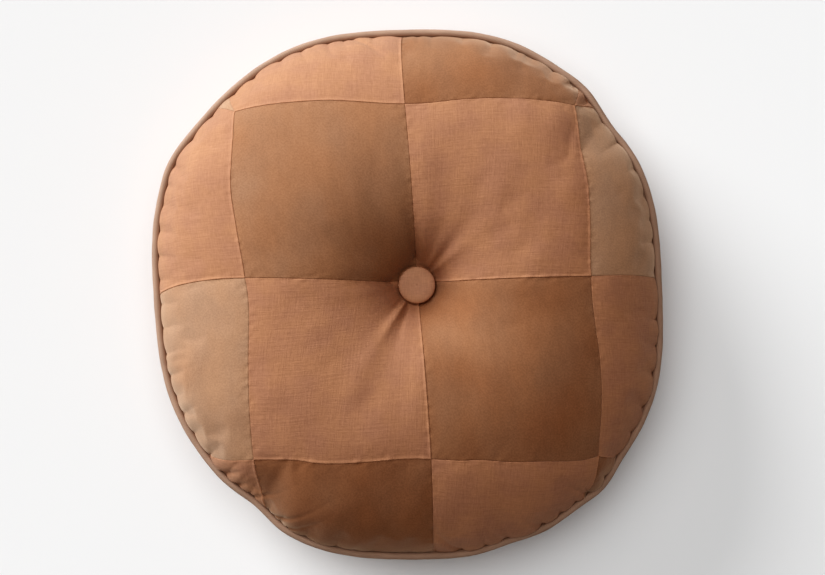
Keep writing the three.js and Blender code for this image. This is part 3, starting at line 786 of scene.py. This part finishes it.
def slub_linen(name, rgb, slub=0.06, bump=0.3):
    """Washed plain-weave linen: matt, with thick and thin yarns both ways.

    The real yarns are about 0.7 mm apart. Single yarns are too fine to show, so the pattern is of the
    slubs, 2 mm wide and 30 to 50 mm long. Along its raised seam edges it is paler: a painted highlight
    where light catches them, and partly where washing has rubbed them.
    """
    material, tree = start_material(name)
    uv = add_node(tree, "ShaderNodeUVMap", {}, uv_map="cloth").outputs[0]
    warp, weft, fine_warp, fine_weft, cloud = random_patterns(
        tree, uv,
        (1.9 * MM, (1, 0.045, 1), 3.0, 0.6), (2.1 * MM, (0.045, 1, 1), 3.0, 0.6),
        (0.9 * MM, (1, 0.12, 1), 1.0, 0.5), (0.9 * MM, (0.12, 1, 1), 1.0, 0.5),
        (38 * MM, (1, 1, 1), 2.0, 0.5),
    )
    thick_warp, thick_weft = (
        add_node(
            tree, "ShaderNodeMapRange", {"Value": yarns, "From Min": 0.35, "From Max": 0.65},
            interpolation_type="SMOOTHSTEP",
        ).outputs[0]
        for yarns in (warp, weft)
    )
    weave = add_node(tree, "ShaderNodeMath", {0: thick_warp, 1: thick_weft}, operation="ADD").outputs[0]
    fine = add_node(tree, "ShaderNodeMath", {0: fine_warp, 1: fine_weft}, operation="ADD").outputs[0]
    share = add_node(tree, "ShaderNodeMath", {0: weave, 1: 0.5}, operation="MULTIPLY").outputs[0]
    ends = {6: colour(rgb, 1 - slub), 7: colour(rgb, 1 + slub)}
    dye = add_node(tree, "ShaderNodeMix", {0: share, **ends}, data_type="RGBA").outputs[2]
    dye = vary_dye(tree, dye, cloud, 0.3, 0.7, (0.95, 0.95, 0.98), (1.04, 1.04, 1.0))
    dye = vary_dye(tree, dye, fine, 0.7, 1.3, 0.93, 1.06)
    # Painted highlight, partly wear: paler along the raised seam edges.
    dye = paint_seam_light_and_wear(tree, dye, 0.45, colour(rgb, 1.4))
    relief = add_node(tree, "ShaderNodeMath", {0: weave, 1: fine}, operation="ADD").outputs[0]
    bumped = add_node(
        tree, "ShaderNodeBump", {"Height": relief, "Strength": bump, "Distance": 0.25 * MM}
    )
    finish_material(tree, {
        "Base Color": dye, "Normal": bumped.outputs[0], "Roughness": 0.92, "Specular IOR Level": 0.25,
        "Sheen Weight": 0.12, "Sheen Roughness": 0.55, "Sheen Tint": colour(linear("#ffefdf")),
    })
    return material


def cotton_velvet(name, rgb):
    """Short-pile cotton velvet, brushed and worn: mottled where the pile leans different ways.

    The mottling is 9 to 50 mm across, and flecks of 2 mm stand for the pile, whose single tufts are too
    fine to show. The nap attribute, from -1 to 1, makes it darker with painted shade and paler with
    painted sheen, and painted shade makes the seams darker.
    """
    material, tree = start_material(name)
    uv = add_node(tree, "ShaderNodeUVMap", {}, uv_map="cloth").outputs[0]
    nap_sheen_and_shade = add_node(tree, "ShaderNodeAttribute", {}, attribute_name="nap_sheen_and_shade").outputs["Fac"]
    blotch, mottle, fleck = random_patterns(
        tree, uv,
        (48 * MM, (1, 0.6, 1), 3.0, 0.5), (9 * MM, (1, 0.5, 1), 3.0, 0.6), (2 * MM, (1, 1, 1), 2.0, 0.65),
    )
    dye = vary_dye(tree, colour(rgb), blotch, 0.3, 0.7, (0.96, 0.98, 1.0), (1.05, 1.02, 0.98))
    # Painted sheen and shade: paler and greyer where the nap attribute is above 0, darker and redder below
    # it.
    dye = vary_dye(tree, dye, nap_sheen_and_shade, -1, 0, (0.82, 0.75, 0.70), 1.0)
    dye = vary_dye(tree, dye, nap_sheen_and_shade, 0, 1, 1.0, (1.28, 1.44, 1.57))
    dye = vary_dye(tree, dye, mottle, 0.3, 0.7, 0.965, 1.03)
    dye = vary_dye(tree, dye, fleck, 0.32, 0.68, 0.91, 1.07)
    # Painted shade: darker along the seams, where their grooves are shaded.
    dye = paint_seam_light_and_wear(tree, dye, 0.2, colour(rgb, 0.6))
    swell = add_node(tree, "ShaderNodeMath", {0: mottle, 1: 0.5}, operation="MULTIPLY").outputs[0]
    relief = add_node(
        tree, "ShaderNodeMath", {0: fleck, 1: 0.8, 2: swell}, operation="MULTIPLY_ADD"
    ).outputs[0]
    bumped = add_node(tree, "ShaderNodeBump", {"Height": relief, "Strength": 0.4, "Distance": 0.4 * MM})
    finish_material(tree, {
        "Base Color": dye, "Normal": bumped.outputs[0], "Roughness": 0.95, "Specular IOR Level": 0.2,
        "Sheen Weight": 0.45, "Sheen Roughness": 0.4, "Sheen Tint": colour(linear("#ffead4")),
    })
    return material


def bias_twill(name, rgb):
    """Cotton twill cut on the bias: fine ribs that run slantwise round the piping, 1.6 mm apart."""
    material, tree = start_material(name)
    uv = add_node(tree, "ShaderNodeUVMap", {}, uv_map="cloth").outputs[0]
    turned = add_node(
        tree, "ShaderNodeMapping",
        {"Vector": uv, "Rotation": (0, 0, math.radians(45)), "Scale": (1 / (1.6 * MM),) * 3},
    )
    ribs = add_node(
        tree, "ShaderNodeTexWave",
        {"Vector": turned.outputs[0], "Scale": 0.31, "Distortion": 1.2, "Detail": 1.0},
    ).outputs["Fac"]
    worn, = random_patterns(tree, uv, (14 * MM, (0.5, 1, 1), 3.0, 0.6))
    ends = {6: colour(rgb, 0.9), 7: colour(rgb, 1.06)}
    dye = add_node(tree, "ShaderNodeMix", {0: ribs, **ends}, data_type="RGBA").outputs[2]
    dye = vary_dye(tree, dye, worn, 0.3, 0.7, 0.92, 1.07)
    bumped = add_node(tree, "ShaderNodeBump", {"Height": ribs, "Strength": 0.3, "Distance": 0.2 * MM})
    finish_material(tree, {
        "Base Color": dye, "Normal": bumped.outputs[0], "Roughness": 0.85, "Specular IOR Level": 0.3,
    })
    return material


def undyed_fibre(name, rgb, pitch):
    """Undyed cloth, cord, twine or loose fibre: matt, with yarns or curls of about one pitch."""
    material, tree = start_material(name)
    place = add_node(tree, "ShaderNodeTexCoord", {}).outputs["Object"]
    curl, = random_patterns(tree, place, (pitch, (1, 1, 1), 4.0, 0.6))
    dye = vary_dye(tree, colour(rgb), curl, 0.3, 0.7, 0.88, 1.0)
    bumped = add_node(tree, "ShaderNodeBump", {"Height": curl, "Strength": 0.5, "Distance": pitch / 4})
    finish_material(tree, {"Base Color": dye, "Normal": bumped.outputs[0], "Roughness": 0.95})
    return material


def stamped_metal(name, rgb, roughness):
    """Thin sheet or wire, stamped or drawn: shiny, with faint scuffs 2 mm across."""
    material, tree = start_material(name)
    place = add_node(tree, "ShaderNodeTexCoord", {}).outputs["Object"]
    scuff, = random_patterns(tree, place, (2 * MM, (1, 1, 1), 4.0, 0.6))
    scuffed = add_node(
        tree, "ShaderNodeMapRange",
        {
            "Value": scuff, "From Min": 0.3, "From Max": 0.7,
            "To Min": roughness * 0.8, "To Max": roughness * 1.3,
        },
        interpolation_type="SMOOTHSTEP",
    )
    finish_material(tree, {"Base Color": colour(rgb), "Metallic": 1.0, "Roughness": scuffed.outputs[0]})
    return material


def seamless_paper(name, rgb):
    """The studio's paper floor: matt white, so it shows the shadow and no shine."""
    material, tree = start_material(name)
    finish_material(tree, {"Base Color": colour(rgb), "Roughness": 0.9})
    return material


# ---- Sizes and colours that a user would change ----
class CushionSizes(bpy.types.PropertyGroup):
    """Sizes of the sewing."""

    seam_rise: bpy.props.FloatProperty(
        name="Seam rise", description="How far a linen edge stands over its pressed seam allowance",
        default=0.5 * MM, unit="LENGTH",
    )
    seam_dip: bpy.props.FloatProperty(
        name="Seam dip", description="How far the seams draw the cloth in",
        default=0.9 * MM, unit="LENGTH",
    )
    cloth_thickness: bpy.props.FloatProperty(
        name="Cloth thickness", description="Thickness of the cover's cloths",
        default=1.2 * MM, unit="LENGTH",
    )
    case_depth: bpy.props.FloatProperty(
        name="Case depth", description="From the cover's face to the insert's case",
        default=6.0 * MM, unit="LENGTH",
    )
    fill: bpy.props.FloatProperty(
        name="Fill", description="How tightly the cushion is filled", default=0.8, min=0, max=1,
        subtype="FACTOR",
    )


def colour_property(name, description, hex_colour):
    """A colour that a user can change, whose default is an sRGB hex value."""
    return bpy.props.FloatVectorProperty(
        name=name, description=description, subtype="COLOR", size=3, min=0, max=1,
        default=linear(hex_colour),
    )


class CushionColours(bpy.types.PropertyGroup):
    """Colours of the cloths."""

    linen: colour_property("Linen", "Washed linen of the lighter patches", "#a67b62")
    velvet: colour_property("Velvet", "Cotton velvet of the darker patches", "#97725a")
    piping: colour_property("Piping", "Twill of the piping", "#a38877")
    button: colour_property("Button", "Linen of the two buttons", "#b68c73")
    calico: colour_property("Calico", "Undyed cotton of the insert's case", "#e8dfcd")


MATERIALS = {}


def cloth_material(cloth):
    """The finished material of a named cloth, made once."""
    colours = bpy.context.scene.cushion_colours
    makers = {
        "linen": lambda: slub_linen("Washed plain-weave linen", tuple(colours.linen)),
        "velvet": lambda: cotton_velvet("Brushed cotton velvet", tuple(colours.velvet)),
        "piping": lambda: bias_twill("Bias-cut cotton twill", tuple(colours.piping)),
        "button": lambda: slub_linen("Fine button linen", tuple(colours.button), 0.04, 0.15),
        "calico": lambda: undyed_fibre("Unbleached calico", tuple(colours.calico), 1.5 * MM),
        "fibre": lambda: undyed_fibre("Carded polyester fibre", linear("#f4f1ea"), 9 * MM),
        "cord": lambda: undyed_fibre("Cotton piping cord", linear("#ece4d2"), 1.2 * MM),
        "twine": lambda: undyed_fibre("Waxed nylon twine", linear("#d6c6a2"), 0.7 * MM),
        "dome": lambda: stamped_metal("Stamped aluminium", linear("#c9cacc"), 0.35),
        "steel": lambda: stamped_metal("Nickel-plated steel", linear("#b4b2ad"), 0.25),
    }
    if cloth not in MATERIALS:
        MATERIALS[cloth] = makers[cloth]()
    return MATERIALS[cloth]


# ---- Pieces ----
def piping_section():
    """The piping's section: two arcs left open on the inside, with the cloth's two edges as a flange.

    Returns how far each point is outside the piping's centre line and above it, in order round the section.
    """
    slit = 0.15 * MM
    inner = PIPE_RADIUS - PIPING_WALL
    back = np.pi - np.arcsin((slit + PIPING_WALL) / PIPE_RADIUS)
    slit_back = np.pi - np.arcsin(slit / inner)
    outside = PIPE_RADIUS * unit(np.linspace(-back, back, 25))
    inside = inner * unit(np.linspace(slit_back, -slit_back, 17))
    end = -(SEAM_INSET + FLANGE)
    strips = np.array([[end, slit + PIPING_WALL], [end, slit]])
    return np.concatenate([strips[:1] * [1, -1], outside, strips, inside, strips[1:] * [1, -1]])


def piping_points():
    """The section carried round the edge, swelling by 3.5% at most, and wandering with the seam."""
    angle = np.linspace(0, 2 * np.pi, 1600, endpoint=False)[:, None]
    section = piping_section()[None]
    swell = 1 + 0.02 * np.cos(37 * angle + 1) + 0.015 * np.cos(61 * angle)
    out, up = section[..., 0] * swell, section[..., 1] * swell
    plan = edge_point(angle + 0 * out, -out)
    point = np.concatenate([plan, (EDGE_HEIGHT + up + edge_lift(angle))[..., None]], -1)
    around = np.cumsum(np.hypot(*np.diff(section[0], axis=0, prepend=section[0][:1]).T))
    uv = np.stack(np.broadcast_arrays(angle * EDGE_RADIUS, around[None]), -1)
    return point, uv


def cord_points():
    """Three-strand cotton cord along the edge: a circle times 0.95 + 0.05 cos 3(turn - 40 along)."""
    along = np.linspace(0, 2 * np.pi, 1200, endpoint=False)[:, None]
    turn = np.linspace(0, 2 * np.pi, 18, endpoint=False)[None]
    radius = PIPE_RADIUS - PIPING_WALL - CORD_GAP
    radius = radius * (0.95 + 0.05 * np.cos(3 * (turn - 40 * along)))
    out, up = radius * np.cos(turn), radius * np.sin(turn)
    plan = edge_point(along + 0 * out, -out)
    point = np.concatenate([plan, (EDGE_HEIGHT + up + edge_lift(along))[..., None]], -1)
    return point, np.stack(np.broadcast_arrays(along * EDGE_RADIUS, turn * PIPE_RADIUS), -1)


def button_points(back, facing):
    """A covered button: a low dome with a round side, tucked under to an opening at its back.

    The dome is sin(t)^0.9 out and cos(t)^0.9 up, and the tuck under it is a quarter of an ellipse.
    """
    turn = np.linspace(0, 2 * np.pi, 96, endpoint=False)[:, None]
    height = BUTTON_HIGH[2] - BUTTON_LOW[2]
    side, tuck, wall, lip = 0.45 * height, 2.1 * MM, 0.8 * MM, 5 * MM

    def half(radius, face, base):
        t = np.linspace(0, np.pi / 2, 22)
        dome = np.stack([radius * np.sin(t) ** 0.9, side + (face - side) * np.cos(t) ** 0.9], -1)
        t = np.linspace(0, np.pi / 2, 8)[1:]
        under = np.stack([radius - tuck * (1 - np.cos(t)), side - (side - base) * np.sin(t)], -1)
        return np.concatenate([dome, under])

    outside, inside = half(BUTTON_RADIUS, height, 0), half(BUTTON_RADIUS - wall, height - wall, wall)
    outside[0, 0] = inside[0, 0] = 1e-6
    opening = BUTTON_RADIUS - lip
    profile = np.concatenate([outside, [[opening, 0], [opening, wall]], inside[::-1]])
    plan = BUTTON_PLACE + profile[None, :, :1] * unit(turn)
    up = back + facing * profile[None, :, 1] + 0 * turn
    return np.concatenate([plan, up[..., None]], -1), plan


BUTTON_CLEARANCE = 5 * MM  # how much deeper the insert lies beside the button
CALICO_THICKNESS = 0.6 * MM
CALICO_MEETING = 0.15 * MM  # from the edge's height to where each half of the case stops
FIBRE_DEPTH = 1.6 * MM  # from the case's face to the fibre's
FIBRE_MEETING = 0.4 * MM


def case_depth(share, extra, sizes):
    """The insert's depth under the cover: deeper beside the button and at the edge, to clear the seams.

    It grows as the eighth power of the share outwards, and by a bell curve beside the button.
    """
    case_low, case_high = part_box("insert_case_top")
    rim = (PIPING_HIGH[0] - PIPING_LOW[0] - case_high[0] + case_low[0]) / 2 - PIPE_RADIUS - SEAM_INSET
    beside_button = BUTTON_CLEARANCE * np.exp(-((share / 0.3) ** 2))
    return sizes.case_depth + (rim - sizes.case_depth) * share**8 + beside_button + extra


def insert_points(cut, facing, extra, sizes, edge):
    """A panel's polar grid, moved into the cushion square to the panel, and stopped at the case's edge."""
    radius = cut.rim * np.linspace(math.sqrt(TWINE_HOLE / cut.rim), 1, 70) ** 2
    angle = np.linspace(0, 2 * np.pi, 240, endpoint=False)[:, None]
    flat = radius[None, :, None] * unit(angle)
    depth = case_depth(cut.share(radius), extra, sizes)[None, :, None]
    point = cut.point(flat) - facing * cut.normal(flat) * depth
    level = EDGE_HEIGHT + facing * edge
    point[..., 2] = np.where(facing * (point[..., 2] - level) < 0, level, point[..., 2])
    point[:, -1, 2] = level
    return point, flat


# ---- Stage ----
VIEW_WIDTH = 866.83 * MM
VIEW_MIDDLE = (5.25 * MM, 7.35 * MM)
VIEW_DISTANCE = 2.2
SENSOR_WIDTH = 36  # millimetres
FLOOR_REACH = 6.0
LAMP_DISTANCE = 3.0

# Soft studio light: name, azimuth and elevation in degrees, width in degrees, strength.
LAMPS = [("overhead", 120, 72, 60, 1.95), ("window", 135, 15, 36, 4.6)]
AMBIENT = 0.1

# The camera's tone curve: the contrast at white, how much it grows into the shadows, and where the curve is
# pinned, in scene light.
WHITE_CONTRAST, SHADOW_CONTRAST = 0.914, 0.172
TONE_STEPS = (0.03, 0.07, 0.13, 0.22, 0.34, 0.5, 0.72)
ALL_CHANNELS = 3  # the curve mapping's combined curve


def camera_tone(light):
    """Scene light to picture light. Its logarithm is a falling parabola of the light's logarithm."""
    level = math.log(light)
    return math.exp(WHITE_CONTRAST * level - SHADOW_CONTRAST * level**2)


# ---- Operators ----
class CUSHION_OT_stage(bpy.types.Operator):
    """Camera, lights and floor"""

    bl_idname = "cushion.stage"
    bl_label = "Stage"

    def execute(self, context):
        scene = context.scene
        camera = bpy.data.objects.new("camera", bpy.data.cameras.new("camera"))
        camera.location = (*VIEW_MIDDLE, EDGE_HEIGHT + VIEW_DISTANCE)
        camera.data.sensor_width = SENSOR_WIDTH
        camera.data.lens = SENSOR_WIDTH * VIEW_DISTANCE / VIEW_WIDTH
        camera.data.clip_end = 20
        scene.collection.objects.link(camera)
        scene.camera = camera
        view = scene.view_settings
        view.view_transform = "Standard"
        view.use_curve_mapping = True
        curve = view.curve_mapping.curves[ALL_CHANNELS]
        curve.points[-1].location = (1, camera_tone(1))
        for light in TONE_STEPS:
            curve.points.new(light, camera_tone(light))
        view.curve_mapping.update()

        world = bpy.data.worlds.new("studio")
        world.use_nodes = True
        background = world.node_tree.nodes["Background"]
        background.inputs["Color"].default_value = colour(WHITE)
        background.inputs["Strength"].default_value = AMBIENT
        scene.world = world
        for name, azimuth, elevation, width, strength in LAMPS:
            lamp = bpy.data.objects.new(name, bpy.data.lights.new(name, "SUN"))
            lamp.data.angle = math.radians(width)
            lamp.data.energy = strength
            rise = math.radians(elevation)
            plan = unit(np.array(math.radians(azimuth))) * math.cos(rise)
            lamp.location = LAMP_DISTANCE * np.array([*plan, math.sin(rise)])
            lamp.rotation_euler = lamp.location.to_track_quat("Z", "Y").to_euler()
            scene.collection.objects.link(lamp)

        floor = bpy.data.objects.new("floor", bpy.data.meshes.new("floor"))
        corners = [(x * FLOOR_REACH, y * FLOOR_REACH, 0) for x, y in ((-1, -1), (1, -1), (1, 1), (-1, 1))]
        floor.data.from_pydata(corners, [], [(0, 1, 2, 3)])
        floor.data.materials.append(seamless_paper("Matt white paper", linear("#ededed")))
        scene.collection.objects.link(floor)
        return {"FINISHED"}


class CUSHION_OT_patches(bpy.types.Operator):
    """The sixteen patches of the top panel"""

    bl_idname = "cushion.patches"
    bl_label = "Top patches"

    def execute(self, context):
        sizes = context.scene.cushion_sizes
        slack = settle_cloth(TOP_CUT, top_surface, 1, held_by_sewing)
        for row in range(ROWS):
            for column in range(COLUMNS):
                node, cloth = patch_name(row, column)
                # seam carries the share of painted highlight on linen and of painted shade on velvet along
                # the seams.
                points, flat, seam = patch_points(row, column, cloth, sizes, slack)
                # Painted sheen and shade of each velvet patch, changing a little at random within it.
                nap_sheen_and_shade = PATCH_SHEEN_AND_SHADE.get((row, column), 0.0) + SHEEN_SHADE_WANDER * wander(flat, 5, 90 * MM)
                piece = add_grid("cover_" + node, points, flat, seam=seam, nap_sheen_and_shade=nap_sheen_and_shade)
                thicken(piece, sizes.cloth_thickness)
                finish_piece(piece, cloth_material(cloth), cloth, node)
        return {"FINISHED"}


class CUSHION_OT_underside(bpy.types.Operator):
    """The plain linen underside"""

    bl_idname = "cushion.underside"
    bl_label = "Underside"

    def execute(self, context):
        sizes = context.scene.cushion_sizes
        gathered = BOTTOM_CUT.rim - 30 * MM
        inner = np.linspace(TWINE_HOLE, gathered, 52)[:-1]
        outer = np.linspace(gathered, BOTTOM_CUT.rim, 15)
        radius = np.concatenate([inner, outer])
        angle = np.linspace(0, 2 * np.pi, 720, endpoint=False)[:, None]
        flat = radius[None, :, None] * unit(angle)
        slack = settle_cloth(BOTTOM_CUT, bottom_surface, -1, held_on_floor)
        point, normal = bottom_surface(flat)
        point += normal * slack.height(flat)[..., None]
        point[..., 2] = np.maximum(point[..., 2], 0)
        bands = [edge_band(angle, reach, BOTTOM_FOLD) for reach in UNDER_EDGE]
        point = np.concatenate([point, *bands], 1)
        flat = np.concatenate([flat, *[(BOTTOM_CUT.rim + reach) * unit(angle) for reach in UNDER_EDGE]], 1)
        piece = add_grid("cover_underside", point, flat, close_v=True, flip=True)
        thicken(piece, sizes.cloth_thickness)
        finish_piece(piece, cloth_material("linen"), "linen", "bottom_panel")
        return {"FINISHED"}


class CUSHION_OT_piping(bpy.types.Operator):
    """The piping's cover and the cord in it"""

    bl_idname = "cushion.piping"
    bl_label = "Piping"

    def execute(self, context):
        points, uv = piping_points()
        piece = add_grid("piping", points, uv, close_u=True, close_v=True, flip=True)
        finish_piece(piece, cloth_material("piping"), "piping", "piping_cover")
        points, uv = cord_points()
        piece = add_grid("cord", points, uv, close_u=True, close_v=True, flip=True)
        finish_piece(piece, cloth_material("cord"), "cord", "piping_cord")
        return {"FINISHED"}


class CUSHION_OT_buttons(bpy.types.Operator):
    """The cloths of the two covered buttons"""

    bl_idname = "cushion.buttons"
    bl_label = "Button cloths"

    def execute(self, context):
        for name, back, facing in (
            ("top_button", BUTTON_LOW[2], 1), ("bottom_button", LOWER_BUTTON_HIGH[2], -1),
        ):
            points, plan = button_points(back, facing)
            piece = add_grid(name, points, plan, close_u=True, close_v=True, flip=facing < 0)
            finish_piece(piece, cloth_material("button"), "button_cloth", name + "_cloth")
        return {"FINISHED"}


class CUSHION_OT_insert(bpy.types.Operator):
    """The insert's case and its filling"""

    bl_idname = "cushion.insert"
    bl_label = "Insert"

    def execute(self, context):
        sizes = context.scene.cushion_sizes
        for node, cut, facing in (
            ("insert_case_top", TOP_CUT, 1), ("insert_case_bottom", BOTTOM_CUT, -1),
        ):
            point, flat = insert_points(cut, facing, 0, sizes, CALICO_MEETING)
            name = node.replace("insert_case", "lining")
            piece = add_grid(name, point, flat, close_v=True, flip=facing < 0)
            thicken(piece, CALICO_THICKNESS)
            finish_piece(piece, cloth_material("calico"), "calico", node)
        above, flat_above = insert_points(TOP_CUT, 1, FIBRE_DEPTH, sizes, FIBRE_MEETING)
        below, flat_below = insert_points(BOTTOM_CUT, -1, FIBRE_DEPTH, sizes, FIBRE_MEETING)
        point = np.concatenate([above, below[:, ::-1]], 1)
        flat = np.concatenate([flat_above, flat_below[:, ::-1]], 1)
        piece = add_grid("filling", point, flat, close_u=True, close_v=True)
        finish_piece(piece, cloth_material("fibre"), "fibre", "fibre_fill")
        return {"FINISHED"}


class CUSHION_OT_fittings(bpy.types.Operator):
    """Finishes of the twine and the buttons' metal, whose CAD shapes are kept"""

    bl_idname = "cushion.fittings"
    bl_label = "Cord, twine and metal"

    def execute(self, context):
        finishes = {"tufting_twine": "twine", "twine_knot": "twine"}
        for button in ("top_button", "bottom_button"):
            finishes[button + "_dome"] = "dome"
            finishes[button + "_back_plate"] = "steel"
            finishes[button + "_wire_loop"] = "steel"
        for node, finish in finishes.items():
            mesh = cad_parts[node].data
            mesh.materials.clear()
            mesh.materials.append(cloth_material(finish))
        return {"FINISHED"}


class CUSHION_PT_panel(bpy.types.Panel):
    """The cushion's tools"""

    bl_label = "Floor cushion"
    bl_idname = "CUSHION_PT_panel"
    bl_space_type = "VIEW_3D"
    bl_region_type = "UI"
    bl_category = "Cushion"

    def draw(self, context):
        layout = self.layout
        for group in (context.scene.cushion_sizes, context.scene.cushion_colours):
            for key in group.bl_rna.properties.keys():
                if key not in ("rna_type", "name"):
                    layout.prop(group, key)
        for operator in OPERATORS:
            layout.operator(operator.bl_idname)


OPERATORS = (
    CUSHION_OT_stage, CUSHION_OT_patches, CUSHION_OT_underside, CUSHION_OT_piping,
    CUSHION_OT_buttons, CUSHION_OT_insert, CUSHION_OT_fittings,
)
CLASSES = (CushionSizes, CushionColours, *OPERATORS, CUSHION_PT_panel)


def register():
    """Registers the classes and hangs the sizes and colours on the scene."""
    for cls in CLASSES:
        bpy.utils.register_class(cls)
    bpy.types.Scene.cushion_sizes = bpy.props.PointerProperty(type=CushionSizes)
    bpy.types.Scene.cushion_colours = bpy.props.PointerProperty(type=CushionColours)


def unregister():
    """Undoes register."""
    del bpy.types.Scene.cushion_colours
    del bpy.types.Scene.cushion_sizes
    for cls in reversed(CLASSES):
        bpy.utils.unregister_class(cls)


def main():
    """Builds the stage and every piece."""
    register()
    bpy.ops.cushion.stage()
    bpy.ops.cushion.patches()
    bpy.ops.cushion.underside()
    bpy.ops.cushion.piping()
    bpy.ops.cushion.buttons()
    bpy.ops.cushion.insert()
    bpy.ops.cushion.fittings()


if __name__ == "__main__":
    main()
